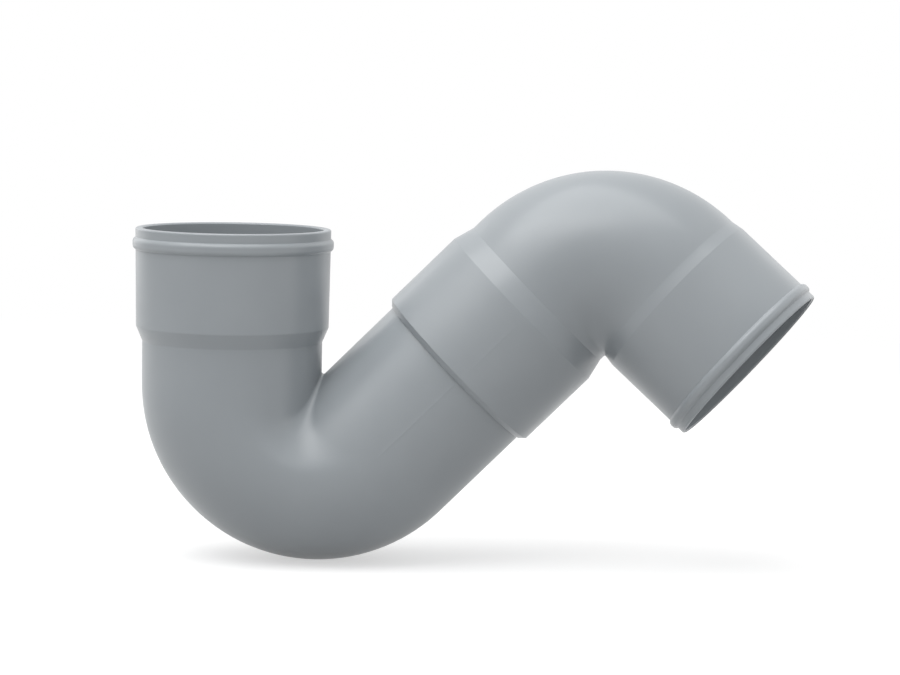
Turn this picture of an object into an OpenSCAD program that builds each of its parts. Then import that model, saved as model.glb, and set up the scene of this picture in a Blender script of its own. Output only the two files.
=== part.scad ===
// A q trap of solvent weld drain pipe. A U shaped bend holds the water, and a
// second bend plugs over its arm and points the outlet down at the floor.
// Lengths are millimetres. The origin is the centre of the inlet mouth, +Z
// leaves that mouth, and the arm climbs towards +X.

/* [Pipe] */
// Outside diameter of the drain pipe, and of the plain tube of the trap
pipe_d = 110; // [100:0.5:125]
// Wall of the plain tube
tube_wall = 3.2; // [2.4:0.1:5]
// Gap all round between a pipe and the socket it goes into
socket_gap = 0.2; // [0.1:0.05:0.4]
// Width of the ledge that stops a pipe at the bottom of a socket
stop_ledge = 2.2; // [1.2:0.1:3]

/* [Inlet socket] */
// From the rim down to the cone
inlet_depth = 60; // [50:1:80]
// Height of the cone between the socket and the tube
inlet_cone = 9; // [6:0.5:16]
// Wall at the rim
inlet_rim_wall = 4.4; // [3:0.1:6]
// Wall at the bottom of the socket
inlet_root_wall = 3.6; // [2.4:0.1:6]
// From the rim to the middle of the bead
inlet_bead_drop = 9.6; // [7:0.2:16]
// Height of the bead along the socket
inlet_bead_height = 7.6; // [4:0.2:9]

/* [U bend] */
// Straight tube between the inlet cone and the bend
leg_length = 26; // [12:1:60]
// Radius of the bend, at the middle of the tube
u_radius = 53; // [52:0.5:80]
// Turn of the bend
u_angle = 135; // [120:1:150]
// Plain tube that shows between the bend and the second socket
arm_length = 66; // [30:1:120]
// Depth by which the groin between the legs is filled by a third tube
groin_fill = 12; // [6:0.5:20]

/* [Link socket] */
// From the mouth up to the cone of the socket that goes over the arm
link_depth = 56; // [46:1:80]
// Length of its cone
link_cone = 13; // [8:0.5:20]
// Wall of that socket
link_wall = 4.1; // [2.4:0.1:6]
// Flat left on its mouth, between the lead in and the outer chamfer
link_land = 0.3; // [0.2:0.1:0.8]
// Room left between the end of the arm and the ledge
arm_end_gap = 1; // [0.5:0.1:3]

/* [Elbow] */
// Straight tube between the link cone and the elbow
elbow_lead = 6; // [2:0.1:30]
// How far the elbow's tube stands out beyond the pipe, all round
elbow_swell = 1; // [-1:0.1:3]
// Depth by which the walls of its two straight ends cross in the throat
throat_cross = 1.9; // [0.5:0.1:3.5]
// Turn of the elbow
elbow_angle = 87.5; // [60:0.5:92.5]
// Straight tube between the elbow and the outlet cone
elbow_tail = 2.2; // [1:0.1:30]
// Turn of the outlet about the arm, as the trap stands
outlet_turn = -12.5; // [-45:0.5:45]

/* [Outlet socket] */
// From the rim to the cone
outlet_depth = 57; // [48:0.2:80]
// Length of the cone between the elbow and the socket
outlet_cone = 10.4; // [6:0.2:16]
// Wall at the rim
outlet_rim_wall = 1.8; // [1.6:0.1:6]
// Wall at the bottom of the socket
outlet_root_wall = 1.9; // [1.6:0.1:6]
// From the rim to the middle of the bead
outlet_bead_drop = 8; // [6:0.2:16]
// Height of the bead along the socket
outlet_bead_height = 6.6; // [4:0.2:8]

/* [Edges] */
// How far each bead stands out of its socket
bead_proud = 1.9; // [1:0.1:3]
// Rounding of the outer edge of each mouth
rim_round = 1; // [0.4:0.1:1.4]
// Chamfer inside each mouth, and on the end of the arm
lead_in = 0.8; // [0.4:0.1:1.4]
// Depth below the cone by which each socket is bored less than its outside
stop_back = 3; // [1:0.5:6]

/* [Hidden] */
$fn = 128;
// Cutters run past the faces that they open by this much
over = 1;
// A bend and the straight tubes at its ends differ in radius by a step too
// small to see, so that their faces cross instead of touching
join_step = 0.1;
// The tubes of the U bend run into it by this length
join_lap = 0.3;
// The sweep of the elbow runs into the tubes at its ends by this angle
join_turn = 0.3;

tube_r = pipe_d / 2;
bore_r = tube_r - tube_wall;
socket_r = tube_r + socket_gap;
ledge_r = socket_r - stop_ledge;
elbow_r = tube_r + elbow_swell;
elbow_radius = elbow_r - throat_cross;

inlet_bore = inlet_depth - stop_back;
link_bore = link_depth - stop_back;
outlet_bore = outlet_depth - stop_back;

bend_start = inlet_depth + inlet_cone + leg_length;
arm_insert = link_bore - arm_end_gap;
link_chamfer = link_wall - lead_in - link_land;
elbow_start = link_depth + link_cone + elbow_lead;
outlet_length = elbow_tail + outlet_cone + outlet_depth;

// The outline of a tube cut across a bend, kept on its own side of the hinge
module tube_section(bend_r, r) {
    intersection() {
        translate([bend_r, 0]) circle(r);
        translate([0, -2 * r]) square([bend_r + 2 * r, 4 * r]);
    }
}

// The same outline filled back to the hinge, for a disc with a round edge
module disc_section(bend_r, r) {
    tube_section(bend_r, r);
    translate([0, -r]) square([bend_r, 2 * r]);
}

// Sweeps a section about a hinge along Y, from the -X side through -Z
module sweep_down(angle) {
    rotate([90, 0, 0])
        rotate([0, 0, 180])
            rotate_extrude(angle = angle)
                children();
}

// Sweeps a section about a hinge along Y, from the -X side through +Z, and a
// little further at both ends
module sweep_up(angle, lap) {
    rotate([90, 0, 0])
        rotate([0, 0, 180 + lap])
            rotate_extrude(angle = -angle - 2 * lap)
                children();
}

// Puts a child, drawn up +Z, at the hinge of the U bend after a part turn
module on_u_bend(turn) {
    translate([u_radius, 0, -bend_start])
        rotate([0, -turn, 0])
            translate([-u_radius, 0, 0])
                children();
}

// Puts a child at the mouth of the link socket, with +Z along the arm
module at_link_mouth() {
    on_u_bend(u_angle)
        translate([0, 0, -arm_length])
            rotate([0, 180, 0])
                children();
}

// Puts a child at the outlet mouth, with +Z leaving it
module at_outlet_mouth() {
    translate([elbow_radius, 0, elbow_start])
        rotate([0, elbow_angle, 0])
            translate([-elbow_radius, 0, outlet_length])
                children();
}

// A socket seen from its mouth at the origin, running away along +Z, with a
// cone that ends at the radius of the tube behind it
module socket_shell(rim_r, root_r, depth, cone, neck_r) {
    rotate_extrude() {
        polygon([
            [0, rim_round],
            [rim_r, rim_round],
            [root_r, depth],
            [neck_r, depth + cone],
            [0, depth + cone]
        ]);
        square([rim_r - rim_round, 2 * rim_round]);
        translate([rim_r - rim_round, rim_round]) circle(rim_round);
    }
}

// A round bead about a socket: a circle that shows the height and depth asked
module bead(surface_r, drop, height) {
    arc_r = (height * height / 4 + bead_proud * bead_proud) / (2 * bead_proud);
    translate([0, 0, drop])
        rotate_extrude()
            translate([surface_r + bead_proud - arc_r, 0])
                circle(arc_r);
}

// The hollow of a socket: lead in, bore, ledge and the taper to the tube
module socket_hollow(bore, full) {
    rotate_extrude()
        polygon([
            [0, -over],
            [socket_r + lead_in + over, -over],
            [socket_r, lead_in],
            [socket_r, bore],
            [ledge_r, bore],
            [bore_r, full],
            [0, full]
        ]);
}

// The tube of the U bend at one radius. Near the groin the straight tubes of
// the two legs run on until they meet, and a third one fills the valley.
module u_tube(r) {
    reach = u_radius + 2 * tube_r;
    translate([0, 0, -bend_start - join_lap])
        cylinder(h = bend_start - inlet_depth + join_lap, r = r);
    on_u_bend(u_angle)
        translate([0, 0, -arm_length - arm_insert])
            cylinder(h = arm_length + arm_insert + join_lap, r = r);
    intersection() {
        translate([u_radius, 0, -bend_start])
            sweep_down(u_angle)
                disc_section(u_radius, r + join_step);
        union() {
            on_u_bend(0)
                translate([0, 0, -reach])
                    cylinder(h = reach + over, r = r);
            on_u_bend(u_angle)
                translate([0, 0, -over])
                    cylinder(h = reach + over, r = r);
            on_u_bend(u_angle / 2)
                translate([-groin_fill, 0, -reach])
                    cylinder(h = 2 * reach, r = r);
        }
    }
}

// The lower piece: inlet socket, U shaped water seal and the plain arm
module u_bend() {
    rim_r = socket_r + inlet_rim_wall;
    root_r = socket_r + inlet_root_wall;
    slope = (rim_r - root_r) / inlet_depth;
    color("#8d9396")
        difference() {
            union() {
                mirror([0, 0, 1]) {
                    socket_shell(rim_r, root_r, inlet_depth, inlet_cone, tube_r);
                    bead(rim_r - slope * inlet_bead_drop, inlet_bead_drop, inlet_bead_height);
                }
                u_tube(tube_r);
            }
            mirror([0, 0, 1])
                socket_hollow(inlet_bore, inlet_depth + inlet_cone);
            u_tube(bore_r);
        }
}

// The upper piece: the socket over the arm, the elbow and the outlet socket
module outlet_bend() {
    link_r = socket_r + link_wall;
    rim_r = socket_r + outlet_rim_wall;
    root_r = socket_r + outlet_root_wall;
    slope = (rim_r - root_r) / outlet_depth;
    color("#959b9e")
        at_link_mouth()
            rotate([0, 0, outlet_turn])
                difference() {
                    union() {
                        socket_shell(link_r, link_r, link_depth, link_cone, elbow_r);
                        elbow_tube(elbow_r);
                        at_outlet_mouth()
                            mirror([0, 0, 1]) {
                                socket_shell(rim_r, root_r, outlet_depth, outlet_cone, elbow_r);
                                bead(rim_r - slope * outlet_bead_drop, outlet_bead_drop, outlet_bead_height);
                            }
                    }
                    socket_hollow(link_bore, link_depth + link_cone);
                    mouth_chamfer(link_r, link_chamfer);
                    elbow_tube(bore_r);
                    at_outlet_mouth()
                        mirror([0, 0, 1])
                            socket_hollow(outlet_bore, outlet_depth + outlet_cone);
                }
}

// What the chamfer takes off the outer edge of a mouth at the origin
module mouth_chamfer(rim_r, chamfer) {
    rotate_extrude()
        polygon([
            [rim_r - chamfer - over, -over],
            [rim_r + over, -over],
            [rim_r + over, chamfer + over]
        ]);
}

// The tube of the elbow at one radius, with the straight tube at each end. The
// two straight tubes cross a little beyond the hinge, in the throat.
module elbow_tube(r) {
    translate([0, 0, elbow_start - elbow_lead - over])
        cylinder(h = elbow_lead + over, r = r);
    translate([elbow_radius, 0, elbow_start])
        sweep_up(elbow_angle, join_turn)
            tube_section(elbow_radius, r - join_step);
    at_outlet_mouth()
        translate([0, 0, -outlet_length])
            cylinder(h = elbow_tail + over, r = r);
}

u_bend();
outlet_bend();
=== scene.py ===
# %% [markdown]
# # A q trap of grey drain pipe
#
# A q trap sits under a floor drain. Waste water falls into the socket on the left, fills the
# U bend, climbs the slanting arm and runs over the elbow. The water that stays behind in the
# U bend keeps the smell of the drain out of the room.
#
# The real one is moulded in PVC, in two pieces. The lower piece has the inlet socket, the U bend
# and the plain arm. The upper piece is a socket that slips over that arm, an elbow and the outlet
# socket. Nothing holds them but cement, so until they are cemented the elbow turns on the arm.
#
# The frame comes first. It is the imported CAD model. Its node sizes are printed here, and at the end each
# piece is measured against its node's box.

import math

import bmesh
import bpy
from mathutils import Matrix, Vector


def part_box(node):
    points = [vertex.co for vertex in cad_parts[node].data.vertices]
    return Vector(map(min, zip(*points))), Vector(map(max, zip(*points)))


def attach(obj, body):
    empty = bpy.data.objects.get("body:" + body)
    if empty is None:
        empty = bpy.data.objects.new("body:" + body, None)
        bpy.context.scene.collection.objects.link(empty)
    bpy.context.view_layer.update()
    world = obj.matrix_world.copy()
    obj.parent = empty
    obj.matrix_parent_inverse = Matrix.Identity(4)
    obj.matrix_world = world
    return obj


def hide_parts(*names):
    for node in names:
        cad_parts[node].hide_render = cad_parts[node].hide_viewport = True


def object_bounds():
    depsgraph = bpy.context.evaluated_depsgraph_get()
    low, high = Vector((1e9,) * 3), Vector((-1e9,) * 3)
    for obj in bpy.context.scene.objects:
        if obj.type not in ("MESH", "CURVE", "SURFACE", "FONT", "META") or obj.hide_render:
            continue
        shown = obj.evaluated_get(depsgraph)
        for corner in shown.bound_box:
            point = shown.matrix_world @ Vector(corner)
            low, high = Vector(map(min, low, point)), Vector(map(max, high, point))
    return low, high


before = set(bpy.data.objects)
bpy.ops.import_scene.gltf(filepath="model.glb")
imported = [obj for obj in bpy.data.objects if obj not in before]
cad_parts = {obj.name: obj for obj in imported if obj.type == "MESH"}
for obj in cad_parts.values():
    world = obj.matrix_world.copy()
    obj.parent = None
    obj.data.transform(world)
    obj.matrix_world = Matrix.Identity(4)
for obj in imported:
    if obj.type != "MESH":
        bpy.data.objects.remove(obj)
CAD_BOX = [list(corner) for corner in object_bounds()]
MM = 0.001
for node in ("u_bend", "outlet_bend"):
    low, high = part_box(node)
    print(node, "is", [round((b - a) / MM, 1) for a, b in zip(low, high)], "mm")

# %% [markdown]
# ## The camera
#
# The camera could be set by eye. Here its place was worked out: the sizes of the trap were laid
# over its outline in the picture until every edge agreed to about half a pixel. A long lens from
# 1.8 m looks down at the trap by nearly 6 degrees, so the inlet shows as a thin ellipse.

# %% Camera
YAW, PITCH, ROLL = (math.radians(a) for a in (-0.81, 5.68, -1.06))
AIM = Vector((133.23, 0, -64.82)) * MM
DISTANCE = 1785.7 * MM
FOCAL_PX, PICTURE_WIDTH = 2913.3, 900

turn = Matrix.Rotation(YAW, 3, "Z") @ Matrix.Rotation(-PITCH, 3, "X") @ Matrix.Rotation(ROLL, 3, "Y")
right, forward, up = turn.col
camera = bpy.data.objects.new("camera", bpy.data.cameras.new("camera"))
bpy.context.scene.collection.objects.link(camera)
camera.matrix_world = Matrix((right, up, -forward)).transposed().to_4x4()
camera.location = AIM - forward * DISTANCE
camera.data.sensor_width = 36
camera.data.lens = FOCAL_PX / PICTURE_WIDTH * camera.data.sensor_width
camera.data.clip_end = 20
bpy.context.scene.camera = camera
print("lens", round(camera.data.lens, 1), "mm, camera at", [round(c, 3) for c in camera.location])

# %% [markdown]
# ## Sizes
#
# These are the sizes of the CAD model in millimetres. The two bends are described by their turn
# and by the radius of the middle of the tube. Each piece is made in a frame of its own: its mouth
# is at the origin and its first tube runs down, or up, the Z axis.

# %% Sizes of the tube, the two bends and the sockets
TUBE, BORE = 55.0, 51.8
SOCKET, LEDGE, LEAD_IN = 55.2, 53.0, 0.8
STOP_BACK = 3.0

U_TURN, U_RADIUS, U_START = 135.0, 53.0, 95.0
ARM_FREE, ARM_INSERT = 66.0, 52.0
INLET_DEPTH, INLET_CONE, INLET_RIM, INLET_ROOT = 60.0, 9.0, 59.6, 58.8

ELBOW_TURN, ELBOW_RADIUS, ELBOW_START, ELBOW_TUBE = 87.5, 54.1, 75.0, 55.9
LINK_DEPTH, LINK_CONE, LINK_OUTSIDE = 56.0, 13.0, 59.3
LINK_LAND = 0.3
OUTLET_TURN, OUTLET_LENGTH = -12.5, 69.6
OUTLET_DEPTH, OUTLET_CONE, OUTLET_RIM, OUTLET_ROOT = 57.0, 10.4, 57.0, 57.1
OUTLET_SHOULDER = 60.0

# %% [markdown]
# ## The outline of a wall
#
# A socket is easiest to think of as the outline of its wall, a few corners at a distance from the
# mouth and a radius from the axis. `soften` rounds the corners, because a moulded edge is never
# sharp: it replaces a corner by a short arc, with one more point at each side that keeps the long
# faces beside it flat under smooth shading. `bead` gives the corners of a round bead.


# %% Outline of a wall, with rounded corners
def soften(corners, steps=6):
    """Corners are (distance, radius, rounding). Returns the outline as (distance, radius)."""
    outline = []
    for i, (z, r, rounding) in enumerate(corners):
        here = Vector((z, r))
        if rounding == 0 or i in (0, len(corners) - 1):
            outline.append(here)
            continue
        back = (Vector(corners[i - 1][:2]) - here).normalized()
        ahead = (Vector(corners[i + 1][:2]) - here).normalized()
        half = back.angle(ahead) / 2
        reach = rounding / math.tan(half)
        middle = here + (back + ahead).normalized() * (rounding / math.sin(half))
        spoke, tip = back * reach + here - middle, ahead * reach + here - middle
        sweep = math.atan2(spoke.x * tip.y - spoke.y * tip.x, spoke.dot(tip))
        hold = 0.2 * min(rounding, 1)
        outline.append(middle + spoke + back * hold)
        for k in range(steps + 1):
            a = sweep * k / steps
            outline.append(middle + Vector((spoke.x * math.cos(a) - spoke.y * math.sin(a),
                                            spoke.x * math.sin(a) + spoke.y * math.cos(a))))
        outline.append(middle + tip + ahead * hold)
    return [tuple(p) for p in outline]


def bead(drop, height, at_rim, at_root, depth, proud=1.78):
    """Corners of a bead about a socket whose outside goes from one radius to the other."""
    start, end = drop - height / 2, drop + height / 2
    slope = (at_root - at_rim) / depth
    foot = 1.3
    return [(start, at_rim + slope * start, 0.5),
            (start + foot, at_rim + slope * start + proud, 2.8),
            (end - foot, at_rim + slope * end + proud, 2.8),
            (end, at_rim + slope * end, 0.5)]


inlet_outside = soften(
    [(0, SOCKET + LEAD_IN, 0), (0, INLET_RIM, 1.1)]
    + bead(9.6, 7.6, INLET_RIM, INLET_ROOT, INLET_DEPTH)
    + [(INLET_DEPTH, INLET_ROOT, 2.5), (INLET_DEPTH + INLET_CONE, TUBE, 3.0), (80, TUBE, 0)])
print("the inlet's outline has", len(inlet_outside), "points")

# %% [markdown]
# ## Rings, and walking them
#
# Both pieces are modelled in the same way. A circle is added at the mouth, and the ring is
# extruded along the axis and scaled, once for each point of the outline. The tube goes down the
# outside, turns round the far edge and comes back up the inside, until it closes on the ring that
# it started from. That gives one closed skin of quads with an even wall, which shades smoothly. A
# solid cut by another solid would give the same shape, but with long thin triangles.
#
# The mould of such a fitting parts along a plane, and leaves a fine raised line there. For that
# line the ring gets two extra pairs of points at the front and at the back. It can be turned, so
# that they come where the real line is.

# %% Start a ring, and walk it along an outline
AROUND = 144
SEAM_POINTS = (0.45, 0.9)
LONGEST = 6.0


def start_ring(name, radius, seam_turn=0.0):
    bpy.ops.object.select_all(action="DESELECT")
    bpy.ops.mesh.primitive_circle_add(vertices=AROUND, radius=radius * MM)
    piece = bpy.context.object
    piece.name = piece.data.name = name
    bpy.ops.object.mode_set(mode="EDIT")
    mesh = bmesh.from_edit_mesh(piece.data)
    for edge in mesh.edges:
        edge.select_set(any(abs(v.co.x) < 1e-9 for v in edge.verts))
    bpy.ops.mesh.subdivide(number_cuts=len(SEAM_POINTS))
    mesh = bmesh.from_edit_mesh(piece.data)
    beside = sorted((v for v in mesh.verts if 1e-9 < abs(v.co.x) < 0.9 * radius * MM * math.tau / AROUND),
                    key=lambda v: abs(v.co.x))
    for i, v in enumerate(beside):
        x = math.copysign(SEAM_POINTS[i // 4] * MM, v.co.x)
        v.co = Vector((x, math.copysign(math.sqrt((radius * MM) ** 2 - x * x), v.co.y), 0))
    bpy.ops.mesh.select_all(action="SELECT")
    if seam_turn:
        bpy.ops.transform.rotate(value=-math.radians(seam_turn), orient_axis="Z", center_override=(0, 0, 0))
    return piece


def walk(outline, axis):
    """Extrudes the selected ring through an outline, along an axis. It sits on the first point."""
    for (z0, r0), (z1, r1) in zip(outline, outline[1:]):
        parts = max(1, math.ceil(abs(z1 - z0) / LONGEST))
        for k in range(parts):
            now, then = (r0 + (r1 - r0) * share / parts for share in (k, k + 1))
            step = axis * ((z1 - z0) / parts * MM)
            bpy.ops.mesh.extrude_region_move(TRANSFORM_OT_translate={"value": step})
            if abs(then - now) > 1e-6:
                bpy.ops.transform.resize(value=(then / now,) * 3)


def spin(hinge, angles, way):
    """Spins the selected ring about a hinge along Y, in stretches of (degrees, steps)."""
    for degrees, steps in angles:
        bpy.ops.mesh.spin(steps=steps, angle=way * math.radians(degrees), center=hinge * MM, axis=(0, 1, 0))


# %% [markdown]
# ## A bend
#
# The rings are spun about a hinge line that lies a little outside the crotch of the bend, where no
# two rings cross. A plain spin gives a piece of a doughnut. The real tube differs from it on the
# inside of the bend: there the two straight tubes run on until they nearly meet, and a fillet
# fills the valley between them. The fillet is tight at the crotch and grows wide towards the
# sides. `press` slides each point of the spun rings along its own ring, in or out, onto that
# shape. This is done by a formula and not by brushes, so that the wall keeps its thickness.


# %% The fillet in the valley of a bend
def fillet(across, radius, crotch, soft, flank):
    """Radius of the fillet where the straight tube's inner wall is this far from its axis."""
    gap = crotch - across
    tight = (gap + math.hypot(gap, soft)) / 2
    start = (crotch + math.hypot(crotch, soft)) / 2
    return tight + (radius - start) * math.exp(-(across / flank) ** 2)


U_VALLEY = {"crotch": 46.0, "soft": 7.0, "flank": 18.0}
ELBOW_VALLEY = {"crotch": ELBOW_RADIUS, "soft": 5.0, "flank": 14.0}
print("fillet of the U bend:", [round(fillet(x, U_RADIUS, **U_VALLEY), 1) for x in (0, 20, 40, 55)])


# %% Press the spun rings onto the shape of the bend
def pressed(point, hinge, reach, turn_degrees, tube, outside, radius, way, valley):
    """Where a point of the spun tube belongs. The first tube's axis is `reach` from the hinge."""
    out = point - hinge
    angle = math.atan2(-out.z * way, -out.x)
    distance = math.hypot(out.x, out.z)
    across = abs(distance - reach)
    half = math.radians(turn_degrees) / 2
    corner = math.pi / 2 - half
    lean = angle - half
    if distance < reach:
        bend = fillet(across * outside / tube, radius, **valley) + (outside - tube) * across / tube
        line, shift = reach - across, (reach - across - bend) / math.sin(corner)
    else:
        bend = radius + across
        line, shift = reach + across, (reach - radius) / math.sin(corner)
    place = line / math.cos(half - abs(lean))
    under = bend * bend - (shift * math.sin(lean)) ** 2
    if under > 0:
        curve = shift * math.cos(lean) + math.sqrt(under)
        if abs(math.atan2(curve * math.sin(lean), curve * math.cos(lean) - shift)) <= half:
            place = curve
    return Vector((hinge.x - place * math.cos(angle), point.y, hinge.z - way * place * math.sin(angle)))


def press(piece, hinge, reach, turn_degrees, outside, radius, way, valley):
    """Presses all the points that lie in the fan of rings about the hinge."""
    count = 0
    for vertex in piece.data.vertices:
        point = vertex.co / MM
        out = point - hinge
        angle = math.degrees(math.atan2(-out.z * way, -out.x))
        if not 0.01 < angle < turn_degrees - 0.01:
            continue
        across = math.hypot(math.hypot(out.x, out.z) - reach, point.y)
        tube = outside if across > (outside + BORE) / 2 else BORE
        vertex.co = pressed(point, hinge, reach, turn_degrees, tube, outside, radius, way, valley) * MM
        count += 1
    return count


# %% [markdown]
# ## The U bend
#
# One moulding: the inlet socket with its bead, a cone, a short leg, the bend and the plain arm,
# which ends inside the elbow's socket. The ring walks down the inlet, spins through the bend,
# walks along the arm, turns round its end and comes back inside, over the ledge that stops the
# pipe, to the inlet's rim.

# %% Model the U bend
U_REACH = 56.4
U_FAN = [(55, 20), (25, 34), (55, 20)]
DOWN = Vector((0, 0, -1))
tan_half_u = math.tan(math.radians(U_TURN / 2))
fan_start = U_START - (U_REACH - U_RADIUS) * tan_half_u
u_hinge = Vector((U_REACH, 0, -fan_start))
arm = Matrix.Rotation(-math.radians(U_TURN), 3, "Y") @ DOWN
fan_tail = (U_REACH - U_RADIUS) * tan_half_u
arm_walk = ARM_FREE + ARM_INSERT - fan_tail

u_bend = start_ring("u_bend_moulding", SOCKET + LEAD_IN)
walk(inlet_outside[:-1] + [(fan_start, TUBE)], DOWN)
spin(u_hinge, U_FAN, 1)
arm_end = soften([(0, TUBE, 0), (arm_walk, TUBE, 0.5), (arm_walk, BORE, 0.5), (0, BORE, 0)], 3)
walk(arm_end, arm)
spin(u_hinge, U_FAN, -1)
ledge = INLET_DEPTH - STOP_BACK
inlet_inside = soften([(fan_start, BORE, 0), (INLET_DEPTH + INLET_CONE, BORE, 2.0),
                       (ledge, LEDGE, 0.3), (ledge, SOCKET, 0.3), (LEAD_IN, SOCKET, 0.5),
                       (0, SOCKET + LEAD_IN, 0)], 3)
walk(inlet_inside, DOWN)
bpy.ops.object.mode_set(mode="OBJECT")
print("the U bend's arm points along", [round(c, 3) for c in arm])


# %% Press it, close it and shade it
def close(piece):
    """Merges the last ring with the first and turns all faces outwards."""
    bpy.ops.object.select_all(action="DESELECT")
    piece.select_set(True)
    bpy.context.view_layer.objects.active = piece
    bpy.ops.object.mode_set(mode="EDIT")
    bpy.ops.mesh.select_all(action="SELECT")
    bpy.ops.mesh.remove_doubles(threshold=0.002 * MM)
    bpy.ops.mesh.normals_make_consistent(inside=False)
    bpy.ops.object.mode_set(mode="OBJECT")
    bpy.ops.object.shade_smooth()
    mesh = bmesh.new()
    mesh.from_mesh(piece.data)
    open_edges = sum(not edge.is_manifold for edge in mesh.edges)
    print(piece.name, len(mesh.faces), "faces,", open_edges, "open edges,",
          round(mesh.calc_volume() / MM**3 / 1000, 1), "cm3")
    mesh.free()


print(press(u_bend, u_hinge, U_REACH, U_TURN, TUBE, U_RADIUS, 1, U_VALLEY), "points pressed")
close(u_bend)

# %% [markdown]
# ## Parting lines
#
# Where the halves of the mould met, a little melt crept between them and left a line about a tenth
# of a millimetre high. It shows along the arm, and faintly on the socket over it. The extra points
# of the ring lie there, so the middle one is lifted off the surface, and its neighbours less.


# %% Raise a parting line along a straight tube
def raise_line(piece, start, axis, stretch, outside, height, fade):
    """Lifts the points at the front and the back of a tube. Returns how many there are."""
    sideways = axis.cross(Vector((0, 1, 0)))
    count = 0
    for vertex in piece.data.vertices:
        out = vertex.co / MM - start
        along = out.dot(axis)
        radial = out - axis * along
        if not stretch[0] < along < stretch[1] or abs(radial.length - outside) > 0.02:
            continue
        beside = abs(radial.dot(sideways))
        if beside < 0.5:
            rise = height * min(1, (along - stretch[0]) / fade, (stretch[1] - along) / fade)
            vertex.co += radial.normalized() * (rise * (1 if beside < 0.1 else 0.25) * MM)
            count += 1
    return count


bend_middle = Vector((U_RADIUS, 0, -U_START))
arm_start = bend_middle + Matrix.Rotation(-math.radians(U_TURN), 3, "Y") @ Vector((-U_RADIUS, 0, 0))
print(len(u_bend.data.vertices), "points,", end=" ")
print(raise_line(u_bend, arm_start, arm, (-1, ARM_FREE + 4), TUBE, 0.13, 3), "of them on the arm's line")

# %% [markdown]
# ## The outlet bend
#
# The second moulding is a socket with a plain mouth that goes over the arm, a cone, a tight elbow
# and the outlet socket with its bead. It is made standing on its mouth. Then it is turned onto
# the arm, with the outlet swung a little towards the viewer, as it was pushed on for the picture.

# %% Model the outlet bend, standing on its mouth
ELBOW_REACH = 56.3
ELBOW_FAN = [(32, 16), (23.5, 24), (32, 16)]
UP = Vector((0, 0, 1))
tan_half_elbow = math.tan(math.radians(ELBOW_TURN / 2))
elbow_fan_start = ELBOW_START - (ELBOW_REACH - ELBOW_RADIUS) * tan_half_elbow
elbow_hinge = Vector((ELBOW_REACH, 0, elbow_fan_start))
spout = Matrix.Rotation(math.radians(ELBOW_TURN), 3, "Y") @ UP
spout_length = OUTLET_LENGTH - (ELBOW_REACH - ELBOW_RADIUS) * tan_half_elbow
print("the straight tube past the elbow and its socket is", round(spout_length, 2), "mm long")

link_land = SOCKET + LEAD_IN + LINK_LAND
link_outside = soften([(0, SOCKET + LEAD_IN, 0), (0, link_land, 0.15),
                       (LINK_OUTSIDE - link_land, LINK_OUTSIDE, 0.6), (LINK_DEPTH, LINK_OUTSIDE, 0.9),
                       (LINK_DEPTH + LINK_CONE, ELBOW_TUBE, 0.9), (elbow_fan_start, ELBOW_TUBE, 0)])
outlet_outside = soften(
    [(0, SOCKET + LEAD_IN, 0), (0, OUTLET_RIM, 1.05)]
    + bead(8.0, 6.6, OUTLET_RIM, OUTLET_ROOT, OUTLET_DEPTH)
    + [(OUTLET_SHOULDER, OUTLET_ROOT, 0.9), (OUTLET_DEPTH + OUTLET_CONE, ELBOW_TUBE, 0),
       (spout_length, ELBOW_TUBE, 0)])
outlet_ledge = OUTLET_DEPTH - STOP_BACK
outlet_inside = soften([(0, SOCKET + LEAD_IN, 0), (LEAD_IN, SOCKET, 0.4), (outlet_ledge, SOCKET, 0.3),
                        (outlet_ledge, LEDGE, 0.3), (OUTLET_DEPTH + OUTLET_CONE, BORE, 0),
                        (spout_length, BORE, 0)], 3)
link_ledge = LINK_DEPTH - STOP_BACK
link_inside = soften([(elbow_fan_start, BORE, 0), (LINK_DEPTH + LINK_CONE, BORE, 0.9),
                      (link_ledge, LEDGE, 0.3), (link_ledge, SOCKET, 0.3), (LEAD_IN, SOCKET, 0.5),
                      (0, SOCKET + LEAD_IN, 0)], 3)

outlet_bend = start_ring("outlet_bend_moulding", SOCKET + LEAD_IN, -OUTLET_TURN)
walk(link_outside, UP)
spin(elbow_hinge, ELBOW_FAN, -1)
walk(outlet_outside[::-1], -spout)
walk(outlet_inside, -spout)
spin(elbow_hinge, ELBOW_FAN, 1)
walk(link_inside, UP)
bpy.ops.object.mode_set(mode="OBJECT")
print(press(outlet_bend, elbow_hinge, ELBOW_REACH, ELBOW_TURN, ELBOW_TUBE, ELBOW_RADIUS, -1,
            ELBOW_VALLEY), "points pressed")

close(outlet_bend)

# %% Turn the outlet bend onto the arm
link_mouth = arm_start + arm * ARM_FREE
onto_arm = (Matrix.Translation(link_mouth * MM) @ Matrix.Rotation(math.radians(180 - U_TURN), 4, "Y")
            @ Matrix.Rotation(math.radians(OUTLET_TURN), 4, "Z"))
outlet_bend.matrix_world = onto_arm
bpy.ops.object.select_all(action="DESELECT")
outlet_bend.select_set(True)
bpy.context.view_layer.objects.active = outlet_bend
bpy.ops.object.transform_apply(location=True, rotation=True, scale=True)
print(raise_line(outlet_bend, link_mouth, arm, (8, LINK_DEPTH - 1), LINK_OUTSIDE, 0.09, 16),
      "points on the socket's line")

for piece, node in ((u_bend, "u_bend"), (outlet_bend, "outlet_bend")):
    corners = [piece.matrix_world @ v.co for v in piece.data.vertices]
    lows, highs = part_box(node)
    inside = [round((min(c[i] for c in corners) - lows[i]) / MM, 2) for i in range(3)]
    inside += [round((highs[i] - max(c[i] for c in corners)) / MM, 2) for i in range(3)]
    print(piece.name, "lies inside its CAD box by", inside, "mm")
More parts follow.
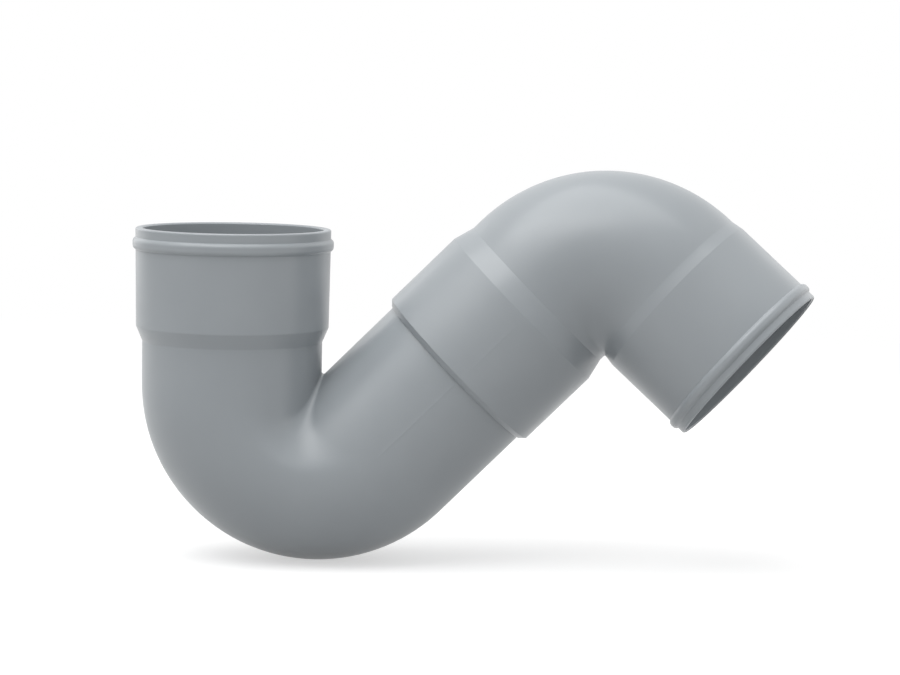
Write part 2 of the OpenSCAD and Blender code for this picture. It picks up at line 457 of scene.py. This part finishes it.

# %% [markdown]
# ## Where the pieces belong
#
# Each moulding rides on its body, and the CAD node that it stands for is hidden.

# %% Ride on the body and hide the CAD node
for piece, node in ((u_bend, "u_bend"), (outlet_bend, "outlet_bend")):
    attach(piece, node)
    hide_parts(node)

# %% [markdown]
# ## The plastic
#
# Drain pipe PVC is a bluish grey with a satin skin. Nothing on it is quite even: the melt leaves
# soft clouds where it flowed, the polished mould a fine grain, and handling a few dull patches.
# Each is a small shader group, so that both pieces can use it with their own values.


# %% A helper for shader groups
def new_group(name, inputs, outputs):
    group = bpy.data.node_groups.new(name, "ShaderNodeTree")
    for title, kind, value in inputs:
        socket = group.interface.new_socket(title, in_out="INPUT", socket_type=kind)
        if value is not None:
            socket.default_value = value
    for title, kind in outputs:
        group.interface.new_socket(title, in_out="OUTPUT", socket_type=kind)
    start, end = group.nodes.new("NodeGroupInput"), group.nodes.new("NodeGroupOutput")
    return group, start, end


def noise(tree, place, scale, detail, rough=0.5):
    node = tree.nodes.new("ShaderNodeTexNoise")
    node.inputs["Scale"].default_value = scale
    node.inputs["Detail"].default_value = detail
    node.inputs["Roughness"].default_value = rough
    tree.links.new(place, node.inputs["Vector"])
    return node.outputs["Fac"]


def spread(tree, value, low, high, to_low=0.0, to_high=1.0):
    """Stretches a range of a value to another one, and stops at its ends."""
    node = tree.nodes.new("ShaderNodeMapRange")
    node.interpolation_type = "SMOOTHSTEP"
    for socket, number in zip(("From Min", "From Max", "To Min", "To Max"), (low, high, to_low, to_high)):
        node.inputs[socket].default_value = number
    tree.links.new(value, node.inputs["Value"])
    return node.outputs["Result"]


# %% Group: clouds of the melt
clouds, start, end = new_group(
    "melt clouds",
    [("Place", "NodeSocketVector", None), ("Plain", "NodeSocketColor", (0.25, 0.27, 0.28, 1)),
     ("Pale", "NodeSocketColor", (0.3, 0.32, 0.33, 1))],
    [("Colour", "NodeSocketColor")])
wide = spread(clouds, noise(clouds, start.outputs["Place"], 9, 3), 0.35, 0.68)
blend = clouds.nodes.new("ShaderNodeMix")
blend.data_type = "RGBA"
clouds.links.new(wide, blend.inputs["Factor"])
clouds.links.new(start.outputs["Plain"], blend.inputs["A"])
clouds.links.new(start.outputs["Pale"], blend.inputs["B"])
clouds.links.new(blend.outputs["Result"], end.inputs["Colour"])

# %% Group: satin skin
satin, start, end = new_group(
    "satin skin",
    [("Place", "NodeSocketVector", None), ("Polished", "NodeSocketFloat", 0.36),
     ("Dull", "NodeSocketFloat", 0.46)],
    [("Roughness", "NodeSocketFloat"), ("Grain", "NodeSocketFloat")])
patches = spread(satin, noise(satin, start.outputs["Place"], 22, 4, 0.55), 0.36, 0.66)
dullness = satin.nodes.new("ShaderNodeMix")
satin.links.new(patches, dullness.inputs["Factor"])
satin.links.new(start.outputs["Polished"], dullness.inputs["A"])
satin.links.new(start.outputs["Dull"], dullness.inputs["B"])
satin.links.new(dullness.outputs["Result"], end.inputs["Roughness"])
satin.links.new(noise(satin, start.outputs["Place"], 900, 2), end.inputs["Grain"])


# %% The material of one moulding
def plastic(name, plain, pale, polished, dull):
    material = bpy.data.materials.new(name)
    material.use_nodes = True
    tree = material.node_tree
    shader = tree.nodes["Principled BSDF"]
    shader.inputs["IOR"].default_value = 1.5
    place = tree.nodes.new("ShaderNodeTexCoord").outputs["Object"]

    melt = tree.nodes.new("ShaderNodeGroup")
    melt.node_tree = clouds
    melt.inputs["Plain"].default_value = (*plain, 1)
    melt.inputs["Pale"].default_value = (*pale, 1)
    skin = tree.nodes.new("ShaderNodeGroup")
    skin.node_tree = satin
    skin.inputs["Polished"].default_value = polished
    skin.inputs["Dull"].default_value = dull
    for node in (melt, skin):
        tree.links.new(place, node.inputs["Place"])

    bump = tree.nodes.new("ShaderNodeBump")
    bump.inputs["Strength"].default_value = 0.25
    bump.inputs["Distance"].default_value = 0.03 * MM
    tree.links.new(skin.outputs["Grain"], bump.inputs["Height"])
    tree.links.new(melt.outputs["Colour"], shader.inputs["Base Color"])
    tree.links.new(skin.outputs["Roughness"], shader.inputs["Roughness"])
    tree.links.new(bump.outputs["Normal"], shader.inputs["Normal"])
    return material


u_bend.data.materials.append(
    plastic("u_bend_grey", (0.271, 0.294, 0.312), (0.293, 0.316, 0.334), 0.3, 0.36))
outlet_bend.data.materials.append(
    plastic("outlet_bend_grey", (0.274, 0.297, 0.315), (0.296, 0.319, 0.337), 0.29, 0.35))

# %% [markdown]
# ## Floor, light and backdrop
#
# The floor is pale and plain. It takes the light that falls on it, so it keeps the trap's shadow,
# and further out it fades to white. The world is white to the camera and in reflections, and a
# soft grey as a light. One large lamp stands above and to the left, and a weaker one fills in
# from the right.


# %% Floor
FLOOR_DROP = 0.0
lowest = CAD_BOX[0][2] - FLOOR_DROP * MM
bpy.ops.object.select_all(action="DESELECT")
bpy.ops.mesh.primitive_plane_add(size=12, location=(0, 0, lowest))
floor = bpy.context.object
floor.name = "floor"
bpy.ops.object.transform_apply(location=True, rotation=True, scale=True)

paint = bpy.data.materials.new("pale floor")
paint.use_nodes = True
tree = paint.node_tree
tree.nodes.clear()
seen = tree.nodes.new("ShaderNodeLightPath")
surface = tree.nodes.new("ShaderNodeBsdfDiffuse")
surface.inputs["Color"].default_value = (0.5, 0.5, 0.5, 1)
white = tree.nodes.new("ShaderNodeEmission")
both = tree.nodes.new("ShaderNodeAddShader")
far = tree.nodes.new("ShaderNodeMixShader")
only_white = tree.nodes.new("ShaderNodeEmission")
result = tree.nodes.new("ShaderNodeOutputMaterial")


def add(tree, operation, a, b):
    node = tree.nodes.new("ShaderNodeMath")
    node.operation = operation
    for socket, value in zip(node.inputs, (a, b)):
        if isinstance(value, (int, float)):
            socket.default_value = value
        else:
            tree.links.new(value, socket)
    return node.outputs["Value"]


def looked_at(tree, path):
    """1 for rays that show the backdrop: from the camera, or seen in a reflection."""
    node = add(tree, "MAXIMUM", path.outputs["Is Camera Ray"], path.outputs["Is Glossy Ray"])
    return add(tree, "MAXIMUM", node, path.outputs["Is Transmission Ray"])


shows = looked_at(tree, seen)
FLOOR_GLOW = 0.55
tree.links.new(add(tree, "MULTIPLY", shows, FLOOR_GLOW), white.inputs["Strength"])
tree.links.new(shows, only_white.inputs["Strength"])
reach_out = tree.nodes.new("ShaderNodeVectorMath")
reach_out.operation = "LENGTH"
tree.links.new(tree.nodes.new("ShaderNodeTexCoord").outputs["Object"], reach_out.inputs[0])
fade = spread(tree, reach_out.outputs["Value"], 0.6, 1.6)
tree.links.new(surface.outputs["BSDF"], both.inputs[0])
tree.links.new(white.outputs["Emission"], both.inputs[1])
tree.links.new(fade, far.inputs["Fac"])
tree.links.new(both.outputs["Shader"], far.inputs[1])
tree.links.new(only_white.outputs["Emission"], far.inputs[2])
tree.links.new(far.outputs["Shader"], result.inputs["Surface"])
floor.data.materials.append(paint)

# %% World
world = bpy.data.worlds.new("backdrop")
bpy.context.scene.world = world
world.use_nodes = True
tree = world.node_tree
backdrop = tree.nodes["Background"]
WORLD_LIGHT = 0.66
path = tree.nodes.new("ShaderNodeLightPath")
shows = looked_at(tree, path)
tree.links.new(add(tree, "MAXIMUM", shows, WORLD_LIGHT), backdrop.inputs["Strength"])
backdrop.inputs["Color"].default_value = (1, 1, 1, 1)


# %% Lamps
def lamp(name, place, aim, size, watts):
    light = bpy.data.lights.new(name, "AREA")
    light.shape = "RECTANGLE"
    light.size, light.size_y = size
    light.energy = watts
    holder = bpy.data.objects.new(name, light)
    bpy.context.scene.collection.objects.link(holder)
    holder.location = place
    holder.rotation_euler = (Vector(aim) - Vector(place)).to_track_quat("-Z", "Y").to_euler()
    return holder


centre = Vector((0.14, 0, -0.08))
lamp("top", centre + Vector((-0.4, -0.3, 2)), centre, (2.2, 2.2), 36)
lamp("key", centre + Vector((-0.93, -0.93, 1.51)), centre, (1.5, 1.5), 10)
lamp("right fill", centre + Vector((1.95, -0.3, 0.3)), centre, (1.3, 1.3), 4)
lamp("left rim", centre + Vector((-1.38, 1.38, 0.41)), centre, (1.3, 1.3), 4)
lamp("right rim", centre + Vector((1.38, 1.38, 0.41)), centre, (1.3, 1.3), 2.5)

# %% [markdown]
# ## Last lines
#
# The view transform is set so that colours render as they are written.

# %% Colours as they are
bpy.context.scene.view_settings.view_transform = "Standard"
